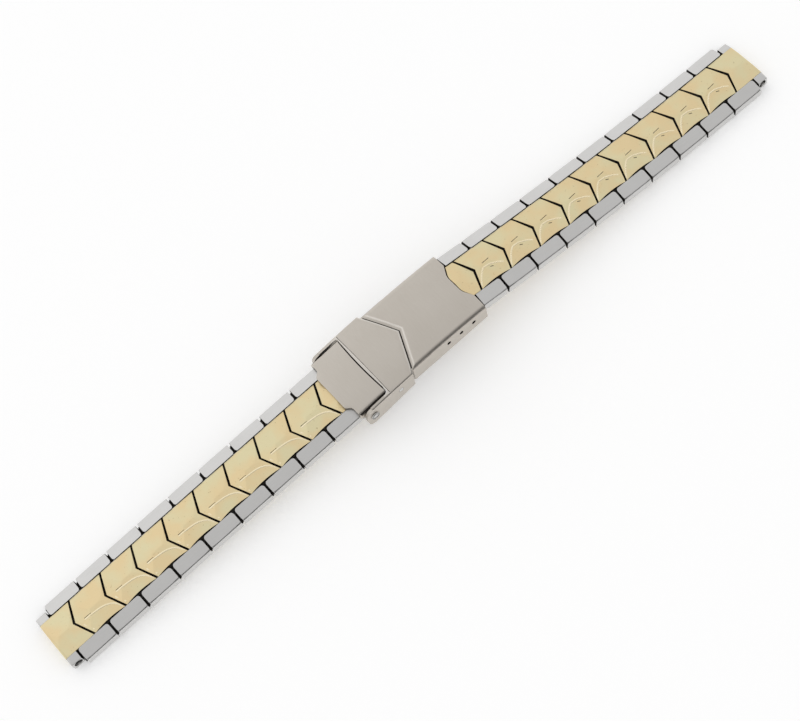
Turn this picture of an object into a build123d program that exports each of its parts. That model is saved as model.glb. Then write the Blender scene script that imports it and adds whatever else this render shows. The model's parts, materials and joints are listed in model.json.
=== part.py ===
from build123d import *
import math
import os

# Link watch bracelet with a two-tone band and a folding clasp that has a safety flap.
# X runs along the band, Y across it and Z up from the table. Lengths are in millimetres
# and angles in degrees. A link is drawn about the middle of its two pins, with +X
# pointing away from the clasp, and is then set in its place in a shallow arch.

# band
pitch = 7.06
left_outer_count = 9
right_outer_count = 10
pin_height = 1.0
pin_radius = 0.45
running_clearance = 0.05
left_end_slope = 4.2
right_end_slope = 0.8

# gold centre links
centre_width = 7.8
centre_height = 2.8
barrel_radius = 1.0
cap_sink = 0.1
arrow_depth = 1.64
arrow_lean = 0.58
arrow_gap = 0.42
waist = 0.18
gable_drop = 0.3
ridge_back = 0.55
ridge_front = 1.0
tip_slope = 6.3

# steel outer links
outer_width = 2.5
side_gap = 0.1
outer_gap = 0.45
outer_inner_height = 2.7
outer_outer_height = 2.05
outer_chamfer = 0.22
outer_lower_chamfer = 0.3
step_length = 1.15
step_rise = 0.35

# case ends
end_bore_x = 1.2
end_bore_radius = 0.8
end_barrel_radius = 1.25
end_lug_width = 1.55
end_lug_drop = 0.35
end_round = 0.45

# clasp cover
clasp_height = 9.76
clasp_top_x = 8.0
clasp_arch_radius = 148.0
clasp_crown_radius = 50.0
cover_end_x = 14.8
cover_width = 14.4
cover_wall = 0.56
cover_plate = 0.6
cover_edge_round = 0.35
lug_part_width = 15.4
lug_wall = 0.62
lug_end_x = -13.7
lug_round = 1.5
cover_end_drop = 4.2
groove_side_drop = 5.1
lug_end_drop = 7.1
part_overlap = 1.0
groove_foot_x = -2.4
groove_depth_x = 3.3
groove_width = 1.0
groove_depth = 0.3
notch_depth = 1.15
notch_clearance = 0.2
notch_width = 4.0
notch_mouth = 8.2

# safety flap
flap_pivot_x = -12.1
flap_pivot_drop = 4.26
flap_inner_x = -8.7
flap_tab_x = -15.5
flap_shoulder_x = -14.45
flap_tab_width = 8.0
flap_shoulder_run = 0.8
flap_plate = 0.5
flap_cheek = 0.38
flap_side_gap = 0.06
flap_swing_gap = 0.2
flap_eye_radius = 1.2
rivet_head_radius = 0.85
rivet_head_height = 0.25

# folding blades
blade_thickness = 0.75
blade_width = 9.0
knuckle_radius = 0.85
cover_hinge_x = -5.8
cover_hinge_drop = 3.16
fold_hinge_x = 4.5
bottom_blade_drop = 4.56
ear_width = 1.3
ear_gap = 0.1
blade_window = 4.4
blade_window_margin = 2.1
left_link_pin_x = -11.5
left_link_drop = 4.36
left_cap_back = 0.5
link_ear_radius = 1.1
link_ear_reach = 1.35

# clasp spring bar
right_link_pin_x = 11.8
right_link_drop = 1.76
spring_bar_drop = 0.45
adjust_step = 2.9
adjust_holes = 3
spring_bar_radius = 0.6
spring_bar_tip_radius = 0.35
adjust_hole_radius = 0.42
bar_barrel_radius = 0.95
bar_side_gap = 0.25

overrun = 20.0

# derived sizes
step = pitch / 2
half_centre = centre_width / 2
link_top = centre_height - pin_height
feet_out = pitch / 2 - arrow_lean - arrow_gap / 2
feet_in = arrow_gap / 2 - pitch / 2 - arrow_lean
cap_floor = barrel_radius - cap_sink
outer_inner_y = half_centre + side_gap
outer_half = pitch / 2 - outer_gap / 2
end_bore_rise = end_barrel_radius - pin_height
end_x = end_bore_x + end_barrel_radius
arch_centre_z = clasp_height - clasp_arch_radius
flap_pivot_z = clasp_height - flap_pivot_drop
cover_hinge_z = clasp_height - cover_hinge_drop
bottom_blade_top = clasp_height - bottom_blade_drop
left_link_pin_z = clasp_height - left_link_drop
right_link_pin_z = clasp_height - right_link_drop
lug_inner_y = lug_part_width / 2 - lug_wall
cover_inner_y = cover_width / 2 - cover_wall


def link_places(start_x, start_z, side, count, end_slope):
    """Pin places and slopes of one half of the band, from the clasp to the case end."""
    mean = math.degrees(math.asin((start_z - pin_height) / (count * step)))
    x, z, places = start_x, start_z, []
    for n in range(count):
        slope = mean + (mean - end_slope) * (1 - 2 * n / (count - 1))
        angle = math.radians(slope)
        places.append((x, z, slope))
        x += side * step * math.cos(angle)
        z -= step * math.sin(angle)
    return places


left_places = link_places(
    left_link_pin_x, left_link_pin_z, -1, 2 * left_outer_count + 1, left_end_slope
)
right_places = link_places(
    right_link_pin_x, right_link_pin_z, 1, 2 * right_outer_count + 1, right_end_slope
)
bar_slope = math.radians(right_places[0][2])
spring_bar_x = right_link_pin_x - spring_bar_drop * math.sin(bar_slope)
spring_bar_z = right_link_pin_z - spring_bar_drop * math.cos(bar_slope)


def solid_along_y(face, half_width):
    """A side view, drawn in X and Z, made as wide as the band both ways from its middle."""
    return extrude(Plane.XZ * face, half_width, both=True)


def solid_along_z(face, low, high):
    """A plan, drawn in X and Y, between two heights."""
    return Pos(0, 0, low) * extrude(face, high - low)


def rod(radius, half_length, x, z):
    """A round bar across the band."""
    return Pos(x, 0, z) * Rot(90, 0, 0) * Cylinder(radius, 2 * half_length)


def arch_z(x):
    """Height of the clasp's top line above the table."""
    return arch_centre_z + math.sqrt(clasp_arch_radius**2 - (x - clasp_top_x) ** 2)


def both_sides(solid):
    """A solid and its mirror image across the band."""
    return [solid, mirror(solid, Plane.XZ)]


# centre links
def cap_plan():
    """The arrow seen from above: tip, shoulders, hollow sides and the notch at the back."""
    middle = (feet_in + feet_out) / 2
    tip = (feet_out + arrow_depth, 0)
    right = [(feet_out, half_centre), (middle, half_centre - waist), (feet_in, half_centre)]
    left = [(x, -y) for x, y in reversed(right)]
    edges = [Line(tip, right[0]), ThreePointArc(*right), ThreePointArc(*left), Line(left[2], tip)]
    notch = (feet_in + arrow_depth, 0)
    edges += [Line(right[2], notch), Line(notch, left[0])]
    return make_face(edges)


def gable():
    """The cap's section across the band, with a low ridge."""
    shoulder = link_top - gable_drop
    points = [(-half_centre, cap_floor), (half_centre, cap_floor), (half_centre, shoulder)]
    points += [(0, link_top), (-half_centre, shoulder)]
    return extrude(Plane.YZ * make_face(Polyline(*points, close=True)), overrun, both=True)


def cap_side(front_x, front_round=None):
    """The cap's side view: the ridge, the sloping tip and the long curve back to the notch."""
    back_run = -ridge_back - feet_in
    back_radius = back_run**2 / (2 * gable_drop)
    back_drop = back_radius - math.sqrt(back_radius**2 - back_run**2)
    half_run = back_run / 2
    half_drop = back_radius - math.sqrt(back_radius**2 - half_run**2)
    back = [(feet_in, link_top - back_drop), (-ridge_back - half_run, link_top - half_drop)]
    back += [(-ridge_back, link_top)]
    front_z = link_top - max(front_x - ridge_front, 0) * math.tan(math.radians(tip_slope))
    line = [(-ridge_back, link_top), (ridge_front, link_top), (front_x, front_z)]
    line += [(front_x, cap_floor), (feet_in, cap_floor), back[0]]
    face = make_face([ThreePointArc(*back), Polyline(*line)])
    if front_round:
        corner = face.vertices().sort_by(Axis.X)[-2:].sort_by(Axis.Y)[-1]
        face = fillet(corner, front_round)
    return face


def arrow_cap(plan):
    """The part of a gold link that shows, with four facets, cut to a plan."""
    cap = solid_along_z(plan, cap_floor, link_top) & gable()
    return cap & solid_along_y(cap_side(feet_out + arrow_depth), overrun)


def pin_hole(side):
    """A running hole for one of a gold link's two pins."""
    return rod(pin_radius + running_clearance, overrun, side * step / 2, 0)


def centre_link():
    """A gold link: an arrow cap on a barrel bored for two pins."""
    barrel = solid_along_y(SlotCenterToCenter(step, 2 * barrel_radius), half_centre)
    return arrow_cap(cap_plan()) + barrel - pin_hole(-1) - pin_hole(1)


def left_clasp_link():
    """The gold link under the flap, whose cap starts behind the flap's tab."""
    plan = cap_plan() & Pos(overrun / 2 - left_cap_back, 0) * Rectangle(overrun, overrun)
    barrel = solid_along_y(SlotCenterToCenter(step, 2 * barrel_radius), half_centre)
    return arrow_cap(plan) + barrel - pin_hole(-1) - pin_hole(1)


def right_clasp_link():
    """The gold link in the cover's notch, with a wide barrel on the spring bar."""
    slope = math.radians(right_places[0][2])
    back = (cover_end_x - notch_depth + notch_clearance - right_link_pin_x) / math.cos(slope)
    back -= link_top * math.tan(slope) + step / 2
    corner = back + notch_depth * math.cos(slope)
    narrow = notch_width / 2 - notch_clearance
    points = [(back, narrow), (corner, half_centre), (overrun, half_centre)]
    points += [(overrun, -half_centre), (corner, -half_centre), (back, -narrow)]
    plan = cap_plan() & make_face(Polyline(*points, close=True))
    bar_top = bar_barrel_radius - spring_bar_drop
    side = [(-step / 2, bar_top), (back, cap_floor), (step / 2, barrel_radius)]
    side += [(step / 2, -barrel_radius), (-step / 2, -bar_barrel_radius - spring_bar_drop)]
    body = make_face(Polyline(*side, close=True)) + Pos(step / 2, 0) * Circle(barrel_radius)
    link = arrow_cap(plan) + solid_along_y(body, half_centre)
    reach = cover_inner_y - bar_side_gap
    link += rod(bar_barrel_radius, reach, -step / 2, -spring_bar_drop)
    link -= rod(spring_bar_radius + running_clearance, overrun, -step / 2, -spring_bar_drop)
    return link - pin_hole(1)


def case_end_link():
    """The gold end link, whose outer end is straight and holds the case's spring bar."""
    points = [(end_x, half_centre), (feet_in, half_centre), (feet_in + arrow_depth, 0)]
    points += [(feet_in, -half_centre), (end_x, -half_centre)]
    plan = make_face(Polyline(*points, close=True))
    side = solid_along_y(cap_side(end_x, end_round), overrun)
    cap = solid_along_z(plan, cap_floor, link_top) & gable() & side
    low = end_bore_rise - end_barrel_radius
    middle_z = (low + barrel_radius) / 2
    body = Pos(0, middle_z) * Rectangle(step, barrel_radius - low)
    body += Pos(-step / 2, 0) * Circle(barrel_radius)
    body += Pos(end_bore_x, end_bore_rise) * Circle(end_barrel_radius)
    body &= Rectangle(2 * end_x, 2 * link_top)
    body += Pos(end_x - end_barrel_radius / 2, cap_floor) * Rectangle(end_barrel_radius, step / 4)
    link = cap + solid_along_y(body, half_centre)
    link -= rod(pin_radius + running_clearance, overrun, -step / 2, 0)
    return link - rod(end_bore_radius, overrun, end_bore_x, end_bore_rise)


def case_end_lugs():
    """The two steel shoulders that flank the end link on the spring bar."""
    back_x = outer_gap / 2
    top = link_top - gable_drop
    low = end_bore_rise - end_barrel_radius
    side = make_face(Polyline((back_x, low), (end_x, low), (end_x, top), (back_x, top), close=True))
    side = fillet(side.vertices().sort_by(Axis.X)[-2:], end_round)
    section = [(half_centre, low), (half_centre + end_lug_width, low)]
    section += [(half_centre + end_lug_width, top - end_lug_drop), (half_centre, top)]
    lug = extrude(Plane.YZ * make_face(Polyline(*section, close=True)), overrun, both=True)
    lug &= solid_along_y(side, overrun)
    return both_sides(lug - rod(end_bore_radius, overrun, end_bore_x, end_bore_rise))


# outer links
def outer_side():
    """An outer link's side view. Its lower ends are rounded about the pins, so it can fold."""
    reach = outer_half - step / 2
    low_x = step / 2 + math.sqrt(reach**2 - pin_height**2)
    half_angle = math.asin(pin_height / reach) / 2
    bend = (step / 2 + reach * math.cos(half_angle), -reach * math.sin(half_angle))
    top = outer_inner_height
    arc = ThreePointArc((outer_half, 0), bend, (low_x, -pin_height))
    other = ThreePointArc((-low_x, -pin_height), (-bend[0], bend[1]), (-outer_half, 0))
    over = Polyline((-outer_half, 0), (-outer_half, top), (outer_half, top), (outer_half, 0))
    return make_face([arc, Line((low_x, -pin_height), (-low_x, -pin_height)), other, over])


def outer_section():
    """An outer link's section, with a top that slopes outwards."""
    inner, outer = outer_inner_y, outer_inner_y + outer_width
    high, low = outer_inner_height - pin_height, outer_outer_height - pin_height
    fall = (high - low) / outer_width
    points = [(inner, -pin_height), (outer - outer_lower_chamfer, -pin_height)]
    points += [(outer, outer_lower_chamfer - pin_height), (outer, low - outer_chamfer)]
    points += [(outer - outer_chamfer, low + fall * outer_chamfer), (inner, high)]
    return Plane.YZ * make_face(Polyline(*points, close=True))


def outer_pair(stepped=False):
    """Two steel links, whose clasp ends may be stepped, and the pins fixed between them."""
    side = outer_side()
    if stepped:
        under_cover = Pos(-outer_half, step_rise + overrun / 2) * Rectangle(2 * step_length, overrun)
        side -= under_cover
    link = extrude(outer_section(), overrun, both=True) & solid_along_y(side, overrun)
    pins = [rod(pin_radius, outer_inner_y, side * step / 2, 0) for side in (-1, 1)]
    return both_sides(link) + pins


# clasp
def arched_channel(width, wall, plate):
    """A crowned channel, bent along the band by turning its section about a far axis."""
    half = width / 2

    def crown(y, lower=0):
        radius = clasp_crown_radius - lower
        return clasp_height - clasp_crown_radius + math.sqrt(radius**2 - y**2)

    inner = half - wall
    foot = clasp_height - overrun / 2
    side_z = crown(half) - cover_edge_round
    under_z = crown(inner, plate)
    round_in = half - cover_edge_round
    outer = [
        ThreePointArc((-round_in, crown(round_in)), (0, clasp_height), (round_in, crown(round_in))),
        Line((round_in, crown(round_in)), (half, side_z)),
        Polyline((half, side_z), (half, foot), (inner, foot), (inner, under_z)),
        ThreePointArc((inner, under_z), (0, crown(0, plate)), (-inner, under_z)),
        Polyline((-inner, under_z), (-inner, foot), (-half, foot), (-half, side_z)),
        Line((-half, side_z), (-round_in, crown(round_in))),
    ]
    section = Pos(clasp_top_x, 0, 0) * (Plane.YZ * make_face(outer))
    axis = Axis((clasp_top_x, 0, arch_centre_z), (0, 1, 0))
    turn = math.degrees(math.asin((clasp_top_x - flap_tab_x + flap_plate) / clasp_arch_radius))
    return revolve(section.rotate(axis, -turn), axis, 2 * turn)


def side_block(low_x, low_drop, high_x, high_drop):
    """What lies above the lower edge between two places, across the whole clasp."""
    points = [(low_x, clasp_height - low_drop), (high_x, clasp_height - high_drop)]
    points += [(high_x, clasp_height + overrun), (low_x, clasp_height + overrun)]
    return make_face(Polyline(*points, close=True))


def lug_block():
    """The side view of the lug part, with a rounded end beyond the flap's rivets."""
    block = side_block(lug_end_x, lug_end_drop, groove_foot_x, groove_side_drop)
    top = arch_z(lug_end_x) - lug_part_width**2 / (8 * clasp_crown_radius)
    corner_cut = Pos(lug_end_x, top) * Rectangle(lug_round * 2, lug_round * 2)
    corner_keep = Pos(lug_end_x + lug_round, top - lug_round) * Circle(lug_round)
    block -= corner_cut - corner_keep
    low = clasp_height - lug_end_drop
    low_cut = Pos(lug_end_x, low) * Rectangle(lug_round * 2, lug_round * 2)
    low_keep = Pos(lug_end_x + lug_round, low + lug_round) * Circle(lug_round)
    return block - (low_cut - low_keep)


def flap_swing():
    """How far the flap's inner end reaches from its rivets."""
    return math.hypot(flap_inner_x - flap_pivot_x, arch_z(flap_inner_x) - flap_pivot_z)


def groove():
    """The arrow-shaped groove across the cover, in line with the gaps of the centre links."""
    half = lug_part_width / 2
    lean = math.degrees(math.atan2(groove_depth_x, half))
    tilt = math.degrees(math.atan2(half, 2 * clasp_crown_radius))
    section = [(-groove_width / 2, groove_depth), (groove_width / 2, groove_depth)]
    section += [(0, -groove_depth)]
    bar = extrude(Plane.XZ * make_face(Polyline(*section, close=True)), overrun)
    arm = Rot(0, 0, -lean) * Rot(tilt, 0, 0) * bar
    vertex_x = groove_foot_x + groove_depth_x
    return Pos(vertex_x, 0, arch_z(vertex_x)) * (arm + mirror(arm, Plane.XZ))


def end_notch():
    """The opening in the cover's end that shows the first gold link."""
    back = cover_end_x - notch_depth
    points = [(back, notch_width / 2), (cover_end_x, notch_mouth / 2), (overrun, notch_mouth / 2)]
    points += [(overrun, -notch_mouth / 2), (cover_end_x, -notch_mouth / 2), (back, -notch_width / 2)]
    plan = make_face(Polyline(*points, close=True))
    return solid_along_z(plan, right_link_pin_z, clasp_height + overrun)


def adjust_places():
    """Where the cover's row of spring bar holes stands along the band."""
    return [spring_bar_x - adjust_step * n for n in range(adjust_holes)]


def clasp_cover():
    """The cover: a narrow channel with the spring bar holes and a wider one with two lugs."""
    wide = arched_channel(lug_part_width, lug_wall, cover_plate)
    wide &= solid_along_y(lug_block(), overrun)
    narrow = arched_channel(cover_width, cover_wall, cover_plate)
    start_x = groove_foot_x - part_overlap
    block = side_block(start_x, groove_side_drop, cover_end_x, cover_end_drop)
    narrow &= solid_along_y(block, overrun)
    cover = wide + narrow
    swing = rod(flap_swing() + flap_swing_gap, lug_inner_y, flap_pivot_x, flap_pivot_z)
    cover -= swing
    cover -= groove()
    cover -= end_notch()
    cover -= rod(pin_radius, overrun, flap_pivot_x, flap_pivot_z)
    cover -= rod(pin_radius, overrun, cover_hinge_x, cover_hinge_z)
    for x in adjust_places():
        cover -= rod(adjust_hole_radius, overrun, x, spring_bar_z)
    return cover


def flap_plan():
    """The flap from above: a finger tab with a set-back shoulder each side."""
    half = lug_part_width / 2
    tab = flap_tab_width / 2
    shoulder = tab + flap_shoulder_run
    points = [(flap_tab_x, -tab), (flap_tab_x, tab), (flap_shoulder_x, shoulder)]
    points += [(flap_shoulder_x, half), (overrun, half), (overrun, -half)]
    points += [(flap_shoulder_x, -half), (flap_shoulder_x, -shoulder)]
    return make_face(Polyline(*points, close=True))


def safety_flap():
    """The flap: a crowned plate with a cheek each side that turns on the lug rivets."""
    width = 2 * (lug_inner_y - flap_side_gap)
    shell = arched_channel(width, flap_cheek, flap_plate)
    shell &= solid_along_z(flap_plan(), -overrun, clasp_height + overrun)
    reach = Pos(flap_pivot_x, flap_pivot_z) * Circle(flap_swing())
    low_left = arch_z(flap_tab_x) - 2 * flap_plate
    low_right = arch_z(flap_inner_x) - 2 * flap_plate
    cheek = [(flap_pivot_x - flap_eye_radius, flap_pivot_z)]
    cheek += [(flap_pivot_x + flap_eye_radius, flap_pivot_z), (flap_inner_x + flap_plate, low_right)]
    cheek += [(flap_inner_x + flap_plate, overrun), (flap_tab_x, overrun), (flap_tab_x, low_left)]
    eye = Pos(flap_pivot_x, flap_pivot_z) * Circle(flap_eye_radius)
    side = (make_face(Polyline(*cheek, close=True)) + eye) & reach
    shell &= solid_along_y(side, overrun)
    return shell - rod(pin_radius + running_clearance, overrun, flap_pivot_x, flap_pivot_z)


def flap_rivets():
    """Two rivets through the lugs that carry the flap's cheeks."""
    outer = lug_part_width / 2
    inner = lug_inner_y - flap_side_gap - flap_cheek
    shank = Pos(flap_pivot_x, (outer + inner) / 2, flap_pivot_z) * Rot(90, 0, 0)
    rivet = shank * Cylinder(pin_radius, outer - inner)
    head = Pos(flap_pivot_x, outer + rivet_head_height / 2, flap_pivot_z) * Rot(-90, 0, 0)
    rivet += head * Cone(rivet_head_radius, pin_radius, rivet_head_height)
    return both_sides(rivet)


def middle_blade():
    """The blade between the cover's hinge and the fold, with a wide knuckle at the cover."""
    plate_middle = (cover_hinge_x + fold_hinge_x) / 2
    length = fold_hinge_x - cover_hinge_x
    plate_z = cover_hinge_z + knuckle_radius - blade_thickness / 2
    blade = Pos(plate_middle, 0, plate_z) * Box(length, blade_width, blade_thickness)
    window = Box(length - 2 * blade_window_margin, blade_window, overrun)
    blade -= Pos(plate_middle, 0, plate_z) * fillet(window.edges().filter_by(Axis.Z), knuckle_radius)
    blade += rod(knuckle_radius, lug_inner_y - flap_side_gap, cover_hinge_x, cover_hinge_z)
    inner = blade_width / 2 - ear_width - ear_gap
    corner = Box(knuckle_radius * 2 + ear_gap * 2, ear_width + ear_gap, overrun)
    for side in (-1, 1):
        blade -= Pos(fold_hinge_x, side * (inner + (ear_width + ear_gap) / 2), plate_z) * corner
    blade += rod(knuckle_radius, inner, fold_hinge_x, cover_hinge_z)
    blade -= rod(pin_radius + running_clearance, overrun, cover_hinge_x, cover_hinge_z)
    return blade - rod(pin_radius + running_clearance, overrun, fold_hinge_x, cover_hinge_z)


def bottom_blade():
    """The lower blade, with ears for the fold pin at one end and for the band at the other."""
    low = bottom_blade_top - blade_thickness
    back = left_link_pin_x + link_ear_reach
    front = fold_hinge_x + knuckle_radius
    blade = Pos((back + front) / 2, 0, (low + bottom_blade_top) / 2) * Box(
        front - back, blade_width, blade_thickness
    )
    blade += Pos(back + blade_thickness / 2, 0, (low + bottom_blade_top) / 2) * Box(
        blade_thickness, 2 * (outer_inner_y + ear_width), blade_thickness
    )
    ear_y = blade_width / 2 - ear_width / 2
    upright = Box(knuckle_radius * 2, ear_width, cover_hinge_z - low)
    for side in (-1, 1):
        blade += Pos(fold_hinge_x, side * ear_y, (cover_hinge_z + low) / 2) * upright
        ear = Pos(fold_hinge_x, side * ear_y, cover_hinge_z) * Rot(90, 0, 0)
        blade += ear * Cylinder(knuckle_radius, ear_width)
        arm_y = side * (outer_inner_y + ear_width / 2)
        arm = Box(link_ear_reach + blade_thickness, ear_width, blade_thickness)
        arm_x = left_link_pin_x + (link_ear_reach + blade_thickness) / 2
        blade += Pos(arm_x, arm_y, (low + bottom_blade_top) / 2) * arm
        eye = Pos(left_link_pin_x, arm_y, left_link_pin_z) * Rot(90, 0, 0)
        blade += eye * Cylinder(link_ear_radius, ear_width)
    blade -= rod(pin_radius, overrun, fold_hinge_x, cover_hinge_z)
    return blade - rod(pin_radius, overrun, left_link_pin_x, left_link_pin_z)


def spring_bar():
    """The bar that holds the band in one of the cover's holes, with a thin tip each end."""
    body = rod(spring_bar_radius, cover_inner_y - bar_side_gap, spring_bar_x, spring_bar_z)
    return body + rod(spring_bar_tip_radius, cover_width / 2, spring_bar_x, spring_bar_z)


# places in the arch
def put(shape, place, side):
    """A link set with its inner pin at a place and its slope along the band."""
    x, z, slope = place
    turn = Rot(0, side * slope, 0)
    if side < 0:
        turn = turn * Rot(0, 0, 180)
    return Pos(x, 0, z) * turn * Pos(step / 2, 0, 0) * shape


def end_bore_place(place, side):
    """The middle of a case end's spring bar bore."""
    x, z, slope = place
    angle = math.radians(slope)
    along, rise = step / 2 + end_bore_x, end_bore_rise
    return (
        x + side * (along * math.cos(angle) + rise * math.sin(angle)),
        z - along * math.sin(angle) + rise * math.cos(angle),
    )


left_bore = end_bore_place(left_places[-1], -1)
right_bore = end_bore_place(right_places[-1], 1)

nodes = {
    "clasp_cover": [clasp_cover()],
    "safety_flap": [safety_flap()],
    "flap_rivets": flap_rivets(),
    "middle_blade": [middle_blade()],
    "bottom_blade": [bottom_blade()],
    "cover_hinge_pin": [rod(pin_radius, lug_part_width / 2, cover_hinge_x, cover_hinge_z)],
    "fold_hinge_pin": [rod(pin_radius, blade_width / 2, fold_hinge_x, cover_hinge_z)],
    "left_link_pin": [
        rod(pin_radius, outer_inner_y + ear_width, left_link_pin_x, left_link_pin_z)
    ],
    "clasp_spring_bar": [spring_bar()],
}
full_link = centre_link()
clasp_links = {"left": left_clasp_link(), "right": right_clasp_link()}
end_link = case_end_link()
end_lugs = case_end_lugs()
outer_links = outer_pair()
stepped_links = outer_pair(stepped=True)
for name, places, side in (("left", left_places, -1), ("right", right_places, 1)):
    last = len(places) - 1
    for n, place in enumerate(places):
        number = f"{n // 2 + n % 2:02d}"
        if n % 2:
            pieces = stepped_links if (name, n) == ("right", 1) else outer_links
            node = f"outer_links_{name}_{number}"
        elif n == 0:
            pieces, node = [clasp_links[name]], f"clasp_link_{name}"
        elif n == last:
            pieces, node = [end_link], f"case_end_link_{name}"
            nodes[f"case_end_lugs_{name}"] = [put(lug, place, side) for lug in end_lugs]
        else:
            pieces, node = [full_link], f"centre_link_{name}_{number}"
        nodes[node] = [put(piece, place, side) for piece in pieces]

# the middle of the whole model's underside becomes the origin
boxes = [piece.bounding_box() for pieces in nodes.values() for piece in pieces]
middle_x = (min(box.min.X for box in boxes) + max(box.max.X for box in boxes)) / 2
shift = Pos(-middle_x, 0, -min(box.min.Z for box in boxes))

os.makedirs("parts", exist_ok=True)
for name, pieces in nodes.items():
    solids = [solid for piece in pieces for solid in (shift * piece).solids()]
    shape = solids[0] if len(solids) == 1 else Compound(children=solids)
    export_step(shape, f"parts/{name}.step")
print(len(nodes), "nodes")
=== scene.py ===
import json
import math
import bpy
from mathutils import Matrix, Vector


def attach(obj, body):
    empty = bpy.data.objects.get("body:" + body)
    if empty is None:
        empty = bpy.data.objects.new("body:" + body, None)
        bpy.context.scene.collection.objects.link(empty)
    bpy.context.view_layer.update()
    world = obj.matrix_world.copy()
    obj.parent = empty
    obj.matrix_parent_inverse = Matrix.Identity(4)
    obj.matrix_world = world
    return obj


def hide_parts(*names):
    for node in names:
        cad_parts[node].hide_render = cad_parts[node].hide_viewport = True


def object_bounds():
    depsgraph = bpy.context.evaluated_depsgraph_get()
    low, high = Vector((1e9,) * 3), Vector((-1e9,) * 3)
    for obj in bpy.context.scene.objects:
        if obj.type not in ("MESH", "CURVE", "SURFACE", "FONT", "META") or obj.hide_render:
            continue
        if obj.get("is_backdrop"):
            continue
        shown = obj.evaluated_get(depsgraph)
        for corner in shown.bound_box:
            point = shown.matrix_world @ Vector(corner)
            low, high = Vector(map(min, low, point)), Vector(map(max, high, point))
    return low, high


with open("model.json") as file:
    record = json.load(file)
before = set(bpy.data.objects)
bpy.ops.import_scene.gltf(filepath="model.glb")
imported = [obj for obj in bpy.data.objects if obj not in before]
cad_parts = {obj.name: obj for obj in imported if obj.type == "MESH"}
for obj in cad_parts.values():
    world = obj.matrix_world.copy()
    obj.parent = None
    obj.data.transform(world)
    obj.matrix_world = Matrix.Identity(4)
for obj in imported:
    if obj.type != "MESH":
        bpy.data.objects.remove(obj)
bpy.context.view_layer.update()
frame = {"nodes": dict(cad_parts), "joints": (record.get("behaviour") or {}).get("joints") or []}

# Pins of the chain. Each link turns on hidden steel pins, so every link below is set in
# the arch of the band by the places of its two pins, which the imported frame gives.
mm = 0.001
pitch = 7.06
pin_x = pitch / 4
joint_place = {joint["name"]: Vector(joint["pos_m"]) for joint in frame["joints"]}


def link_matrices(half):
    """A matrix for each link of one half of the band, about the middle of its two pins."""
    pins = [joint_place[name] for name in sorted(joint_place) if name.startswith(half + "_joint")]
    side = -1 if half == "left" else 1
    slopes = [math.atan2(a.z - b.z, abs(b.x - a.x)) for a, b in zip(pins, pins[1:])]
    if half == "right":
        slopes[0] = 2 * slopes[1] - slopes[2]
    slopes.append(2 * slopes[-1] - slopes[-2])
    matrices = []
    for index, slope in enumerate(slopes):
        along = Vector((side * math.cos(slope), 0, -math.sin(slope))) * pin_x * mm
        middle = pins[1] - along if (half, index) == ("right", 0) else pins[index] + along
        turn = Matrix.Rotation(math.pi, 4, "Z") if side < 0 else Matrix.Identity(4)
        tilt = Matrix.Rotation(side * slope, 4, "Y")
        matrices.append(Matrix.Translation(middle) @ tilt @ turn)
    return matrices


left_matrices = link_matrices("left")
right_matrices = link_matrices("right")


# Gold plate. The real finish is a pale, soft polish that has turned a little pinker and
# greener in places, with hair lines along the band and a few dark specks of wear. Its
# creases carry a painted highlight, and the gaps between the links are painted shade.
class Field:
    """A shader socket that can stand in a sum, so that shader maths reads as a formula."""

    def __init__(self, tree, socket=None):
        self.tree, self.socket = tree, socket

    def node(self, kind, settings=None, **inputs):
        """A new node, with its settings and then the values or links of its sockets."""
        new = self.tree.nodes.new(kind)
        for key, value in (settings or {}).items():
            if key == "stops":
                while len(new.color_ramp.elements) < len(value):
                    new.color_ramp.elements.new(0.5)
                for element, (place, shade) in zip(new.color_ramp.elements, value):
                    element.position = place
                    element.color = (*shade, 1)
            else:
                setattr(new, key, value)
        for key, value in inputs.items():
            number = key[1:].isdigit()
            socket = new.inputs[int(key[1:]) if number else key.replace("_", " ")]
            if isinstance(value, Field):
                self.tree.links.new(value.socket, socket)
            else:
                socket.default_value = value
        return new

    def get(self, kind, settings=None, output=0, **inputs):
        """A new node's output as a field."""
        return Field(self.tree, self.node(kind, settings, **inputs).outputs[output])

    def maths(self, operation, first, second):
        return self.get("ShaderNodeMath", {"operation": operation}, _0=first, _1=second)

    def __add__(self, other): return self.maths("ADD", self, other)
    def __radd__(self, other): return self.maths("ADD", other, self)
    def __sub__(self, other): return self.maths("SUBTRACT", self, other)
    def __rsub__(self, other): return self.maths("SUBTRACT", other, self)
    def __mul__(self, other): return self.maths("MULTIPLY", self, other)
    def __rmul__(self, other): return self.maths("MULTIPLY", other, self)

    def share(self):
        """The field kept between 0 and 1."""
        return self.get("ShaderNodeClamp", Value=self)

    def mix(self, low, high):
        """A colour between two others, with this field as the share of the second."""
        low, high = (c if isinstance(c, Field) else (*c, 1) for c in (low, high))
        return self.get("ShaderNodeMix", {"data_type": "RGBA"}, 2, _0=self, _6=low, _7=high)

    def noise(self, scale, detail=2.0, stretch=(1, 1, 1)):
        """Noise over this place field, drawn out along an axis where the stretch is small."""
        drawn = self.get("ShaderNodeMapping", Vector=self, Scale=stretch)
        return self.get("ShaderNodeTexNoise", Vector=drawn, Scale=scale, Detail=detail)


def new_metal(name):
    """A new metal material: itself, its shader and a field of Object coordinates."""
    material = bpy.data.materials.new(name)
    material.use_nodes = True
    shader = material.node_tree.nodes["Principled BSDF"]
    shader.inputs["Metallic"].default_value = 1
    place = Field(material.node_tree).get("ShaderNodeTexCoord", output=3)
    return material, shader, place


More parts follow.
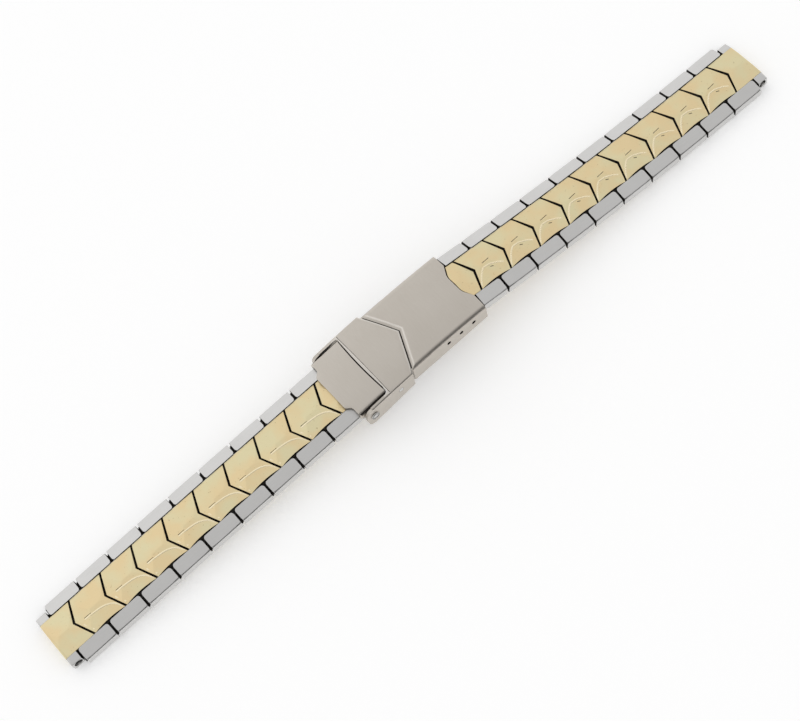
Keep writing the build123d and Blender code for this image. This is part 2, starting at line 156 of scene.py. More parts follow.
def dress(shader, colour, roughness, height, strength):
    """Feeds a metal's shader its colour, its roughness and a height for its bump."""
    links = colour.tree.links
    links.new(colour.socket, shader.inputs["Base Color"])
    links.new(roughness.socket, shader.inputs["Roughness"])
    bump = colour.node("ShaderNodeBump", Height=height, Strength=strength, Distance=0.00002)
    links.new(bump.outputs[0], shader.inputs["Normal"])


# Painted shade: near-black, laid on faces in the gaps and grooves and on sheets under them.
painted_shade, shader, place = new_metal("painted shade in gaps and grooves")
shader.inputs["Metallic"].default_value = 0.2
shade_mottle = place.noise(1500.0)
colour = shade_mottle.mix((0.012, 0.009, 0.006), (0.03, 0.024, 0.018))
dress(shader, colour, shade_mottle * 0.2 + 0.6, shade_mottle, 0.4)

gold_plate, shader, place = new_metal("pale gold plate")
patches = place.noise(230.0)
hair_lines = place.noise(9000.0, 3.0, (0.1, 1, 1))
specks = place.noise(2400.0)
tint = ((patches - 0.4) * 4.0).share().mix((0.81, 0.65, 0.38), (0.78, 0.70, 0.44))
colour = (((0.32 - specks) * 12.0).share() * 0.5).mix(tint, (0.35, 0.26, 0.12))
dress(shader, colour, hair_lines * 0.14 + patches * 0.1 + 0.24, hair_lines, 0.22)

# Painted highlight: a lighter gold on the raised creases, for the light they catch.
painted_highlight_gold, shader, place = new_metal("painted highlight on gold creases")
hair_lines = place.noise(9000.0, 3.0, (0.1, 1, 1))
colour = place.noise(700.0).mix((0.90, 0.76, 0.50), (0.96, 0.86, 0.62))
dress(shader, colour, hair_lines * 0.1 + 0.22, hair_lines, 0.2)


# Gold centre links. The real ones are pressed brass shells, gold plated, closed round the
# pins and polished. Half a cap is cut from a block by planes, for its low ridge, falling
# tip and long curve to the notch. It is mirrored, and drawn in and creased on one side.
def take(piece):
    """Selects one object alone and makes it active."""
    bpy.ops.object.select_all(action="DESELECT")
    piece.select_set(True)
    bpy.context.view_layer.objects.active = piece


def block(name, low, high):
    """A block between two corners, in millimetres."""
    bpy.ops.object.select_all(action="DESELECT")
    bpy.ops.mesh.primitive_cube_add(size=1, location=[(a + b) / 2 * mm for a, b in zip(low, high)])
    piece = bpy.context.object
    piece.name = name
    piece.scale = [(b - a) * mm for a, b in zip(low, high)]
    bpy.ops.object.transform_apply(location=True, rotation=True, scale=True)
    return piece


def rod(name, radius, half_length, place, sides=48):
    """A round bar across the band, about a place in millimetres."""
    bpy.ops.object.select_all(action="DESELECT")
    bpy.ops.mesh.primitive_cylinder_add(
        vertices=sides, radius=radius * mm, depth=2 * half_length * mm,
        location=[c * mm for c in place], rotation=(math.pi / 2, 0, 0),
    )
    piece = bpy.context.object
    piece.name = name
    bpy.ops.object.transform_apply(location=True, rotation=True, scale=True)
    return piece


def cut(piece, place, outward, keep=False):
    """Cuts a piece by a plane through a place, and drops what lies beyond unless kept."""
    take(piece)
    bpy.ops.object.mode_set(mode="EDIT")
    bpy.ops.mesh.select_all(action="SELECT")
    bpy.ops.mesh.bisect(
        plane_co=[c * mm for c in place], plane_no=Vector(outward).normalized(),
        use_fill=not keep, clear_outer=not keep, threshold=1e-8,
    )
    bpy.ops.object.mode_set(mode="OBJECT")


def pick(piece, wanted, kind="EDGE"):
    """Selects the edges, or faces, whose corners in millimetres pass a test."""
    take(piece)
    bpy.ops.object.mode_set(mode="EDIT")
    bpy.ops.mesh.select_mode(type=kind)
    bpy.ops.mesh.select_all(action="DESELECT")
    bpy.ops.object.mode_set(mode="OBJECT")
    mesh = piece.data
    for item in mesh.edges if kind == "EDGE" else mesh.polygons:
        item.select = bool(wanted(*[mesh.vertices[v].co / mm for v in item.vertices]))


def round_edges(piece, wanted, width, segments=2):
    """Rounds the edges that pass a test."""
    pick(piece, wanted)
    bpy.ops.object.mode_set(mode="EDIT")
    bpy.ops.mesh.bevel(offset=width * mm, segments=segments, affect="EDGES")
    bpy.ops.object.mode_set(mode="OBJECT")


def shape(piece, kind, **settings):
    """Adds a modifier to a piece and applies it."""
    take(piece)
    modifier = piece.modifiers.new(kind.lower(), kind)
    for key, value in settings.items():
        setattr(modifier, key, value)
    bpy.ops.object.modifier_apply(modifier=modifier.name)


def carve(piece, tool, operation="DIFFERENCE"):
    """Takes a tool piece away from a piece, or adds it, and removes the tool."""
    shape(piece, "BOOLEAN", operation=operation, object=tool, solver="EXACT")
    bpy.data.objects.remove(tool)


def at_middle(*corners):
    """Whether all corners of a face lie in the middle plane of the band."""
    return all(abs(c.y) < 1e-4 for c in corners)


def mirror_half(piece):
    """Opens a half piece at the middle of the band and mirrors it."""
    pick(piece, at_middle, "FACE")
    bpy.ops.object.mode_set(mode="EDIT")
    bpy.ops.mesh.delete(type="FACE")
    bpy.ops.object.mode_set(mode="OBJECT")
    shape(piece, "MIRROR", use_axis=(False, True, False), merge_threshold=1e-7)


def mirror_copy(piece):
    """Adds a piece's mirror image on the other side of the band."""
    shape(piece, "MIRROR", use_axis=(False, True, False), use_mirror_merge=False)


def soften(piece, width, segments=2, angle=20):
    """Rounds sharp edges a little, turns faces outwards and keeps flats flat in shading."""
    shape(piece, "BEVEL", width=width * mm, segments=segments, limit_method="ANGLE",
          angle_limit=math.radians(angle), use_clamp_overlap=True)
    take(piece)
    bpy.ops.object.mode_set(mode="EDIT")
    bpy.ops.mesh.select_all(action="SELECT")
    bpy.ops.mesh.remove_doubles(threshold=1e-7)
    bpy.ops.mesh.normals_make_consistent(inside=False)
    bpy.ops.object.mode_set(mode="OBJECT")
    bpy.ops.object.shade_smooth_by_angle(angle=math.radians(40))
    shape(piece, "WEIGHTED_NORMAL", weight=80, keep_sharp=True)


def join(name, *pieces):
    """Joins pieces into one."""
    bpy.ops.object.select_all(action="DESELECT")
    for piece in pieces:
        piece.select_set(True)
    bpy.context.view_layer.objects.active = pieces[0]
    if len(pieces) > 1:
        bpy.ops.object.join()
    pieces[0].name = name
    return pieces[0]


def line_gaps(piece, metal, wanted):
    """Gives a piece its metal, and painted shade on faces whose centre and normal pass a test."""
    if not piece.data.materials:
        piece.data.materials.append(metal)
        piece.data.materials.append(painted_shade)
    for face in piece.data.polygons:
        if wanted(face.center / mm, face.normal):
            face.material_index = 1


def on_gap_faces(centre, normal):
    """Whether a barrel's face looks into the gaps between the links, where painted shade goes."""
    return normal.z > 0.2 or abs(normal.y) > 0.8


def everywhere(centre, normal):
    """The test that every face passes."""
    return True


def place_copy(pattern, name, matrix, body, nodes):
    """A copy of a pattern with its own mesh, set in the band in place of CAD nodes."""
    copy = bpy.data.objects.new(name, pattern.data.copy())
    copy.data.transform(matrix)
    bpy.context.scene.collection.objects.link(copy)
    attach(copy, body)
    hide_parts(*nodes)


feet_out, feet_in, arrow_depth = 2.74, -3.9, 1.64
half_gold, gold_top, gold_floor = 3.9, 1.8, 0.9
gable_fall, curve_start, tip_start = 0.3, -0.55, 1.0
tip_fall = math.tan(math.radians(6.3))
curve_run = curve_start - feet_in
curve_radius = curve_run**2 / (2 * gable_fall)
waist_depth, cap_edge = 0.34, 0.07
pin_bore, pin_radius = 0.5, 0.45
barrel_reach, barrel_round, barrel_edge, link_depth = 2.765, 0.99, 0.04, 1


def arrow_half(name, front_x=None, back_x=None):
    """Half of a gold cap, with a plain end in place of its tip or its notch if asked."""
    tip = feet_out + arrow_depth
    half = block(name, (feet_in, 0, gold_floor), (tip, half_gold, gold_top + 0.1))
    if front_x is None:
        cut(half, (tip, 0, 0), (half_gold, arrow_depth, 0))
    else:
        cut(half, (front_x, 0, 0), (1, 0, 0))
    if back_x is None:
        cut(half, (feet_in + arrow_depth, 0, 0), (-half_gold, -arrow_depth, 0))
    else:
        cut(half, (back_x, 0, 0), (-1, 0, 0))
    cut(half, (0, 0, gold_top), (0, gable_fall / half_gold, 1))
    cut(half, (tip_start, 0, gold_top), (tip_fall, 0, 1))
    facets = 8
    for step in range(facets):
        run = curve_run * (step + 0.5) / facets
        place = (curve_start - run, 0, gold_top - run**2 / (2 * curve_radius))
        cut(half, place, (-run / curve_radius, 0, 1))
    return half


def draw_in_waist(piece, side):
    """Draws one side of a gold cap in between its shoulders, as a shallow hollow."""
    middle, reach = (feet_in + feet_out) / 2, (feet_out - feet_in) / 2
    columns = [middle + reach * share for share in (-0.75, -0.5, -0.25, 0, 0.25, 0.5, 0.75)]
    for x in columns:
        cut(piece, (x, 0, 0), (1, 0, 0), keep=True)
    for x in columns:
        on_column = lambda c: abs(c.x - x) < 1e-3 and side * c.y > half_gold - 1e-3
        pick(piece, lambda a, b: on_column(a) and on_column(b))
        inwards = waist_depth * (1 - ((x - middle) / reach) ** 2)
        bpy.ops.object.mode_set(mode="EDIT")
        bpy.ops.transform.translate(value=(0, -side * inwards * mm, 0))
        bpy.ops.object.mode_set(mode="OBJECT")


def gold_barrel(name):
    """The rolled barrel under a gold cap, bored for two pins."""
    high = (barrel_reach, half_gold, link_depth)
    barrel = block(name, [-c for c in high], high)
    round_edges(barrel, lambda a, b: abs(a.y - b.y) > 1, barrel_round, 10)
    for side in (-1, 1):
        carve(barrel, rod("pin bore", pin_bore, half_gold + 1, (side * pin_x, 0, 0), 32))
    soften(barrel, barrel_edge, 1, 50)
    # The barrel's faces seen through the gaps are painted dark, as painted shade.
    line_gaps(barrel, gold_plate, on_gap_faces)
    return barrel


def gap_floor():
    """A thin tongue, painted dark as painted shade, that shuts the gap under a gold link's notch.
    """
    half = half_gold - 0.05
    tongue = block("tongue", (-4.2, -half, -0.5), (-2.6, half, -0.3))
    line_gaps(tongue, gold_plate, everywhere)
    return tongue


def finish_cap(half, waist_side=0):
    """Mirrors half a cap, rounds its edges, and paints shade on the walls that stand in its gaps.
    """
    mirror_half(half)
    if waist_side:
        draw_in_waist(half, waist_side)
    soften(half, cap_edge, 2, 3.2)
    line_gaps(half, gold_plate, lambda c, n: n.z < 0.35 and abs(n.y) > 0.1)


def ridge(name, points, radius, metal):
    """A fine round bar through a row of points in millimetres, sunk in the surface there."""
    bars = []
    for start, stop in zip(points, points[1:]):
        bpy.ops.object.select_all(action="DESELECT")
        bpy.ops.mesh.primitive_cylinder_add(
            vertices=32, radius=radius * mm, depth=(stop - start).length * mm,
            location=(start + stop) / 2 * mm,
            rotation=(stop - start).to_track_quat("Z", "Y").to_euler(),
        )
        bpy.ops.object.transform_apply(location=True, rotation=True, scale=True)
        bars.append(bpy.context.object)
    bar = join(name, *bars)
    bar.data.materials.append(metal)
    bpy.ops.object.shade_smooth_by_angle(angle=math.radians(60))
    return bar


def crease(places, side, radius, proud, metal):
    """A crease that stands a little proud of a gold cap's top along a row of places."""
    points = []
    for x, y in places:
        fall = max(gable_fall / half_gold * abs(y), tip_fall * max(0, x - tip_start),
                   min(0, x - curve_start) ** 2 / (2 * curve_radius))
        points.append(Vector((x, side * y, gold_top - fall + proud - radius)))
    bar = ridge("crease", points, radius, metal)
    short = 0.06
    cut(bar, (feet_in + arrow_depth + short, 0, 0), (-half_gold, -side * arrow_depth, 0))
    cut(bar, (feet_out + arrow_depth - short, 0, 0), (half_gold, side * arrow_depth, 0))
    cut(bar, (0, 0, gold_floor + 0.02), (0, 0, -1))
    return bar


def gold_pattern(name, side, creases, shade_lines):
    """A whole gold link, with its waist, creases and painted shade lines on one side, and on
    the other a flange that shuts the gap to the steel links."""
    gold_cap = arrow_half(name)
    finish_cap(gold_cap, side)
    low, high = sorted((-side * (half_gold - 0.1), -side * (half_gold + 0.08)))
    flange = block("flange", (-2.3, low, 1.0), (2.7, high, 1.42))
    # The creases carry a painted highlight, and thin dark bars beside them are painted shade.
    bars = [crease(places, side, 0.4, 0.026, painted_highlight_gold) for places in creases]
    bars += [crease(places, side, 0.1, 0.02, painted_shade) for places in shade_lines]
    return join(name, gold_cap, gold_barrel("gold barrel"), gap_floor(), flange, *bars)


left_pattern = gold_pattern(
    "left gold link", 1,
    [((-3.72, 3.55), (-3.35, 2.85), (-2.9, 2.2), (-2.3, 1.72), (-1.5, 1.32), (-0.6, 1.08),
      (0.5, 0.95), (1.6, 0.87), (2.7, 0.8)), ((3.4, 1.3), (2.5, 3.3))],
    [((1.3, 0.62), (2.7, 0.55))],
)
right_pattern = gold_pattern(
    "right gold link", -1,
    [((-3.66, 3.5), (-3.0, 2.6), (-2.35, 1.8), (-1.6, 1.1), (-0.9, 0.65), (0.45, 0.7),
      (1.9, 1.3), (2.8, 1.93))],
    [((-0.5, -0.15), (1.15, -0.3)), ((0.25, 1.25), (0.8, 1.5))],
)
for half, matrices, count in (("left", left_matrices, 8), ("right", right_matrices, 9)):
    gold_link = left_pattern if half == "left" else right_pattern
    for number in range(1, count + 1):
        node = f"centre_link_{half}_{number:02d}"
        place_copy(gold_link, f"gold_link_{half}_{number:02d}", matrices[2 * number], node,
                   [node])
    bpy.data.objects.remove(gold_link)

# Steel outer links. They are solid bars of stainless steel, satin on their sloping tops,
# with a narrow bevel outside and round lower ends. Two pins are brazed into each pair.
outer_reach, outer_inner, outer_outer = 3.305, 4.0, 6.5
outer_high, outer_low = 1.7, 1.05
outer_fall = (outer_high - outer_low) / (outer_outer - outer_inner)
bevel_width, lower_round, outer_corner, inner_corner = 0.14, 1.15, 0.18, 0.5
ledge_reach, ledge_height = 0.23, 0.2


def outer_bar(name, stepped=False):
    """One steel link of a pair, on the side where Y is positive."""
    low, high = (-outer_reach, outer_inner, -link_depth), (outer_reach, outer_outer, outer_high)
    bar = block(name, low, high)
    cut(bar, (0, outer_inner, outer_high), (0, outer_fall, 1))
    edge = outer_outer - bevel_width
    for lean, x in ((0, 0), (0.03, 1.9), (-0.03, -1.9)):
        cut(bar, (x, edge, outer_high - outer_fall * (edge - outer_inner)), (lean, 0.8, 0.75))
    cut(bar, (0, outer_outer, -0.7), (0, 1, -1))
    lower_end = lambda a, b: abs(a.y - b.y) > 1 and max(a.z, b.z) < -0.9 and abs(a.x) > 2.2
    round_edges(bar, lower_end, lower_round, 6)
    if stepped:
        carve(bar, block("step", (-4, 3, 0.35), (1.15 - outer_reach, 7, 3)))
    at_end = lambda a, b: abs(a.x - b.x) < 0.05 and abs(a.x) > outer_reach - 0.17
    upright = lambda a, b: at_end(a, b) and min(a.z, b.z) > 0
    outside = lambda a, b: upright(a, b) and abs(a.y - b.y) < 0.3 and a.y > 5
    inside = lambda a, b: upright(a, b) and max(a.y, b.y) < outer_inner + 0.1
    round_edges(bar, outside, outer_corner, 3)
    round_edges(bar, inside, inner_corner, 4)
    return bar


def dark_ledge(x, z):
    """A thin ledge, painted dark as painted shade, that shuts the gap at the end of a steel link.
    """
    low = (x - ledge_reach, outer_inner + 0.1, z)
    high = (x + ledge_reach, outer_outer - 0.3, z + ledge_height)
    ledge = block("ledge", low, high)
    line_gaps(ledge, satin_steel, everywhere)
    return ledge


def outer_pair(name, stepped=False):
    """Both steel links of a pair, with their pins."""
    bar = outer_bar(name, stepped)
    soften(bar, 0.06, 2, 25)
    # The bar's inner side and its ends are painted dark, as painted shade in the gaps.
    line_gaps(bar, satin_steel, lambda c, n: n.y < -0.8 or abs(n.x) > 0.8 and c.z > -0.4)
    ledge_x = outer_reach + 0.03
    bar = join(name, bar, dark_ledge(ledge_x, 0), dark_ledge(-ledge_x, -0.35))
    mirror_copy(bar)
    pins = [rod("pin", pin_radius, outer_inner, (side * pin_x, 0, 0), 32) for side in (-1, 1)]
    for pin in pins:
        soften(pin, 0.03, 1, 50)
    return join(name, bar, *pins)


satin_steel, shader, place = new_metal("satin stainless steel")
clouds = place.noise(170.0)
hair_lines = place.noise(8000.0, 3.0, (0.07, 1, 1))
colour = (hair_lines * 0.6 + clouds * 0.4).mix((0.60, 0.59, 0.575), (0.74, 0.735, 0.725))
dress(shader, colour, hair_lines * 0.2 + 0.24, hair_lines, 0.3)

steel_pair = outer_pair("steel pair")
stepped_pair = outer_pair("stepped pair", stepped=True)
for half, matrices, count in (("left", left_matrices, 9), ("right", right_matrices, 10)):
    for number in range(1, count + 1):
        node = f"outer_links_{half}_{number:02d}"
        pattern = stepped_pair if (half, number) == ("right", 1) else steel_pair
        place_copy(pattern, f"steel_links_{half}_{number:02d}", matrices[2 * number - 1],
                   node, [node])

# Case ends. The last gold link of each half has a straight, rounded outer end, bored for
# the watch case's spring bar, and a short steel shoulder stands each side of it.
end_x, end_round, end_bore_x, end_bore_z, end_bore = 2.45, 0.45, 1.2, 0.25, 0.8
end_cap = arrow_half("end cap", front_x=end_x)
at_outer_end = lambda a, b: min(a.x, b.x) > end_x - 0.01
round_edges(end_cap, lambda a, b: at_outer_end(a, b) and min(a.z, b.z) > 1.1, end_round, 5)
finish_cap(end_cap)
low, high = (-barrel_reach, -half_gold, -link_depth), (end_x, half_gold, link_depth)
end_body = block("end body", low, high)
round_edges(end_body, lambda a, b: abs(a.y - b.y) > 1 and max(a.z, b.z) < 0, barrel_round, 10)
carve(end_body, rod("pin bore", pin_bore, 5, (-pin_x, 0, 0), 32))
carve(end_body, rod("bar bore", end_bore, 5, (end_bore_x, 0, end_bore_z)))
soften(end_body, barrel_edge, 1, 50)
# The body's faces seen through the gaps are painted dark, as painted shade.
line_gaps(end_body, gold_plate, on_gap_faces)
end_link = join("end link", end_cap, end_body, gap_floor())
shoulder_width, shoulder_top, shoulder_fall = 1.55, 1.5, 0.35
low = (0.225, half_gold, -link_depth)
shoulder = block("shoulder", low, (end_x, half_gold + shoulder_width, shoulder_top))
cut(shoulder, (0, half_gold, shoulder_top), (0, shoulder_fall, shoulder_width))
round_edges(shoulder, lambda a, b: at_outer_end(a, b) and abs(a.y - b.y) > 1, end_round, 5)
carve(shoulder, rod("bar bore", end_bore, 9, (end_bore_x, 0, end_bore_z)))
soften(shoulder, 0.07, 2, 25)
# The shoulder's inner end and the ledge below it are painted dark, as painted shade.
line_gaps(shoulder, satin_steel, lambda c, n: -n.x > 0.8)
ledge = block("ledge", (0, half_gold + 0.1, -0.35), (0.4, half_gold + 1.4, -0.15))
line_gaps(ledge, satin_steel, everywhere)
shoulder = join("shoulder", shoulder, ledge)
mirror_copy(shoulder)
for half, matrices in (("left", left_matrices), ("right", right_matrices)):
    body = f"case_end_{half}"
    place_copy(end_link, f"end_link_{half}", matrices[-1], body, [f"case_end_link_{half}"])
    place_copy(shoulder, f"end_shoulders_{half}", matrices[-1], body, [f"case_end_lugs_{half}"])

# Clasp links. The gold link under the safety flap has a short cap, whose back hides behind
# the flap's tab, and its clasp end turns on the lower blade's pin.
cap = arrow_half("flap side cap", back_x=-0.5)
finish_cap(cap)
flap_side_link = join("flap side link", cap, gold_barrel("barrel"))
place_copy(flap_side_link, "gold_clasp_link_left", left_matrices[0], "clasp_link_left",
           ["clasp_link_left"])
spare_patterns = [steel_pair, stepped_pair, end_link, shoulder, flap_side_link]

# Gold link in the cover's end. Its cap has a narrow back that fills the cover's opening,
# and under it a wide barrel turns on the spring bar that the cover's side holes hold.
back, bar_z, bar_bore, wide_barrel, tube_half = 0.0, -0.45, 0.65, 0.95, 6.39
cap = arrow_half("cover side cap", back_x=back)
cut(cap, (back, 1.8, 0), (-2.1, 1.13, 0))
round_edges(cap, lambda a, b: abs(a.z - b.z) > 0.5 and a.x < back + 0.01 and a.y > 1, 0.6, 4)
finish_cap(cap)
for face in cap.data.polygons:
    if face.center.x < 1.2 * mm:
        face.material_index = 0
low, high = (-pin_x, -half_gold, -1.35), (barrel_reach, half_gold, 0.96)
under = block("cover side body", low, high)
cut(under, (back, 0, 0.9), (-0.4, 0, back + pin_x))
cut(under, (pin_x, 0, -link_depth), (-0.4, 0, -pitch / 2))
round_edges(under, lambda a, b: abs(a.y - b.y) > 1 and min(a.x, b.x) > 2, 0.9, 8)
carve(under, rod("pin bore", pin_bore, 5, (pin_x, 0, 0), 32))
carve(under, rod("wide barrel", wide_barrel, tube_half, (-pin_x, 0, bar_z)), "UNION")
carve(under, rod("bar bore", bar_bore, 9, (-pin_x, 0, bar_z), 32))
soften(under, barrel_edge, 1, 50)
# The body's faces seen through the gaps are painted dark, as painted shade.
line_gaps(under, gold_plate, on_gap_faces)
cover_side_link = join("cover side link", cap, under)
place_copy(cover_side_link, "gold_clasp_link_right", right_matrices[0], "clasp_link_right",
           ["clasp_link_right"])
spare_patterns.append(cover_side_link)
for pattern in spare_patterns:
    bpy.data.objects.remove(pattern)

# Clasp cover. It is pressed from steel sheet in two parts: a narrow channel that holds the
# band's spring bar, and over it a wider one that ends in an arrow and in the flap's lugs.
# Both are crowned across the band and arched along it, so sections are spun about the arch.
clasp_steel, shader, place = new_metal("brushed clasp steel")
clouds = place.noise(140.0)
brushing = place.noise(7000.0, 3.0, (1, 0.05, 1))
colour = (brushing * 0.5 + clouds * 0.5).mix((0.51, 0.465, 0.41), (0.65, 0.61, 0.555))
dress(shader, colour, brushing * 0.16 + clouds * 0.1 + 0.26, brushing, 0.3)

# Painted highlight: a lighter steel on the cover's bevelled edges, for the light they catch.
painted_highlight_steel, shader, place = new_metal("painted highlight on clasp edges")
brushing = place.noise(7000.0, 3.0, (1, 0.05, 1))
colour = brushing.mix((0.62, 0.58, 0.53), (0.74, 0.70, 0.65))
dress(shader, colour, brushing * 0.1 + 0.2, brushing, 0.2)

hinge_place = (-5.8, 0, 6.6)
clasp_shift = Matrix.Translation(joint_place["cover_hinge"] - Vector(hinge_place) * mm)
clasp_height, arch_x, arch_radius, crown_radius = 9.76, 8.0, 148.0, 50.0
wide_half, wide_wall, narrow_half, narrow_wall, plate = 7.7, 0.62, 7.2, 0.56, 0.6
lug_end, groove_foot, groove_vertex, cover_end = -13.7, -2.85, 0.6, 14.8
arrow_lean, groove_gap, wall_slope = groove_vertex - groove_foot, 0.25, 7.9
scribe_x, lug_round, lug_round_high, lug_round_low = -7.9, 1.5, 6.15, 4.42
flap_x, flap_z, flap_swing = -12.1, 5.5, 4.75
opening, rivet_bore = flap_swing + 0.2, 0.5
hole_places, hole_z, hole_radius = (11.72, 8.82, 5.92), 7.56, 0.42
notch_x, clasp_edge = 13.65, 0.07


def arch_bar(name, half, top, foot, edge, start_x, stop_x):
    """Half of a crowned bar, arched along the band between two places."""
    bpy.ops.object.select_all(action="DESELECT")
    bpy.ops.mesh.primitive_plane_add(
        size=1, location=(arch_x * mm, half / 2 * mm, (top + foot) / 2 * mm),
        rotation=(0, math.pi / 2, 0),
    )
    piece = bpy.context.object
    piece.name = name
    piece.scale = ((top - foot) * mm, half * mm, 1)
    bpy.ops.object.transform_apply(location=True, rotation=True, scale=True)
    facets = 8
    for step in range(facets):
        y = half * (step + 0.5) / facets
        cut(piece, (arch_x, y, top - y**2 / (2 * crown_radius)), (0, y / crown_radius, 1))
    if edge:
        take(piece)
        bpy.ops.object.mode_set(mode="EDIT")
        bpy.ops.mesh.select_mode(type="VERT")
        bpy.ops.mesh.select_all(action="DESELECT")
        bpy.ops.object.mode_set(mode="OBJECT")
        for vertex in piece.data.vertices:
            vertex.select = vertex.co.y > (half - 0.001) * mm and vertex.co.z > (foot + 1) * mm
        bpy.ops.object.mode_set(mode="EDIT")
        bpy.ops.mesh.bevel(offset=edge * mm, segments=5, affect="VERTICES")
        bpy.ops.object.mode_set(mode="OBJECT")
    centre = Vector((arch_x, 0, clasp_height - arch_radius)) * mm
    start, stop = (math.asin((x - arch_x) / arch_radius) for x in (start_x, stop_x))
    turn = Matrix.Rotation(start, 4, "Y")
    piece.data.transform(Matrix.Translation(centre) @ turn @ Matrix.Translation(-centre))
    take(piece)
    bpy.ops.object.mode_set(mode="EDIT")
    bpy.ops.mesh.select_all(action="SELECT")
    bpy.ops.mesh.spin(steps=max(4, round((stop_x - start_x) * 1.2)), angle=start - stop,
                      center=centre, axis=(0, 1, 0))
    bpy.ops.mesh.select_all(action="SELECT")
    bpy.ops.mesh.normals_make_consistent(inside=False)
    bpy.ops.object.mode_set(mode="OBJECT")
    return piece


def channel(name, half, wall, sheet, edge, start_x, stop_x):
    """Half of a crowned channel of sheet metal."""
    shell = arch_bar(name, half, clasp_height, 0, edge, start_x, stop_x)
    hollow = arch_bar("hollow", half - wall, clasp_height - sheet, -1, 0, start_x - 1, stop_x + 1)
    pick(hollow, at_middle, "FACE")
    bpy.ops.object.mode_set(mode="EDIT")
    bpy.ops.transform.translate(value=(0, -0.5 * mm, 0))
    bpy.ops.object.mode_set(mode="OBJECT")
    carve(shell, hollow)
    return shell


def round_off(piece, x, z, radius, first, last):
    """Rounds a corner in side view by planes about its middle, between angles in degrees."""
    facets = 6
    for step in range(facets):
        angle = math.radians(first + (last - first) * (step + 0.5) / facets)
        out = Vector((math.cos(angle), 0, math.sin(angle)))
        cut(piece, Vector((x, 0, z)) + radius * out, out)


def set_part(piece, body, nodes):
    """Sets a finished part of the clasp in its place."""
    piece.data.transform(clasp_shift)
    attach(piece, body)
    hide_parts(*nodes)


def swing_tool(name, radius, half):
    """A round bar about the flap's rivets, with rounded ends."""
    bar = rod(name, radius, half, (flap_x, 0, flap_z), 96)
    round_edges(bar, lambda a, b: abs(a.y - b.y) < 1e-3 and abs(a.y) > half - 0.01, 0.45, 4)
    return bar


def paint_edge_highlight(piece, wanted):
    """Gives a piece a painted highlight on the faces whose centre and normal pass a test."""
    piece.data.materials.append(painted_highlight_steel)
    for face in piece.data.polygons:
        if wanted(face.center / mm, face.normal):
            face.material_index = len(piece.data.materials) - 1


def crest(x, y):
    """The height of the cover's top."""
    return clasp_height - (x - arch_x) ** 2 / (2 * arch_radius) - y**2 / (2 * crown_radius)


def chamfer(piece, edge_x, width, depth):
    """Bevels the edge along the arrow-shaped gap, by planes through rows of its places."""
    facets = 4
    for step in range(facets):
        near_y, far_y = (wide_half * share / facets for share in (step, step + 1))
        near_x, far_x = (edge_x - y * arrow_lean / wide_half for y in (near_y, far_y))
        start = Vector((near_x + width, near_y, crest(near_x + width, near_y)))
        along = Vector((far_x + width, far_y, crest(far_x + width, far_y))) - start
        down = Vector((near_x, near_y, crest(near_x, near_y) - depth)) - start
        out = along.cross(down)
        cut(piece, start, out if out.z > 0 else -out)


def rivet_distance(c):
    """The distance of a place from the axis of the flap's rivets."""
    return math.hypot(c.x - flap_x, c.z - flap_z)


def on_rim(c):
    """Whether a place lies on the wall of the flap's opening."""
    return abs(rivet_distance(c) - opening) < 0.03


def in_hole(c):
    """Whether a place lies on the wall of an adjusting hole."""
    return any(math.hypot(c.x - x, c.z - hole_z) < hole_radius + 0.03 for x in hole_places)


def arrow_slope(n):
    """How squarely a normal faces out along the arrow-shaped gap, towards the narrow part."""
    return n.x * wide_half + abs(n.y) * arrow_lean


start_x, stop_x = lug_end - 0.5, groove_vertex + 1
wide = channel("cover_wide_part", wide_half, wide_wall, plate, 0.3, start_x, stop_x)
cut(wide, (lug_end, 0, 0), (-1, 0, 0))
cut(wide, (groove_vertex, 0, 0), (wide_half, arrow_lean, 0))
cut(wide, (lug_end, 0, 2.66), (2, 0, -11.3))
carve(wide, swing_tool("opening", opening, wide_half - wide_wall))
corner_x = lug_end + lug_round
corner = block("corner", (lug_end - 1, 6, lug_round_high), (corner_x, 9, 9))
carve(corner, rod("round", lug_round, 9.5, (corner_x, 0, lug_round_high), 64))
carve(wide, corner)
round_off(wide, corner_x, lug_round_low, lug_round, 180, 270)
carve(wide, rod("rivet hole", rivet_bore, 9, (flap_x, 0, flap_z), 32))
carve(wide, rod("hinge pin hole", pin_bore, 9, hinge_place, 32))
chamfer(wide, groove_vertex, -0.25, 0.12)
cut(wide, (scribe_x, 0, 0), (1, 0, 0), keep=True)

start_x, stop_x = groove_foot - 1, cover_end + 0.5
narrow = channel("cover_narrow_part", narrow_half, narrow_wall, plate, 0.75, start_x, stop_x)
cut(narrow, (cover_end, 0, 0), (1, 0, 0))
cut(narrow, (groove_vertex + groove_gap, 0, 0), (-wide_half, -arrow_lean, 0))
cut(narrow, (-3.4, 0, 4.66), (0.9, 0, -18.2))
notch = block("notch", (notch_x, -0.5, 8.2), (16, 6, 11))
cut(notch, (notch_x, 2.0, 0), (-2.1, 1.15, 0))
notch_corner = lambda a, b: abs(a.z - b.z) > 1 and max(a.x, b.x) < notch_x + 0.05 and a.y > 1
round_edges(notch, notch_corner, 0.6, 5)
carve(narrow, notch)
for x in hole_places:
    carve(narrow, rod("adjusting hole", hole_radius, 9, (x, 0, hole_z), 32))
# The walls of the adjusting holes are painted dark, as painted shade.
line_gaps(narrow, clasp_steel, lambda c, n: abs(n.y) < 0.3 and in_hole(c))
chamfer(narrow, groove_vertex + groove_gap, 0.72, 0.18)
chamfer(narrow, groove_vertex + groove_gap, 0.55, 0.3)

for part in (wide, narrow):
    mirror_half(part)
    soften(part, clasp_edge, 2, 25)
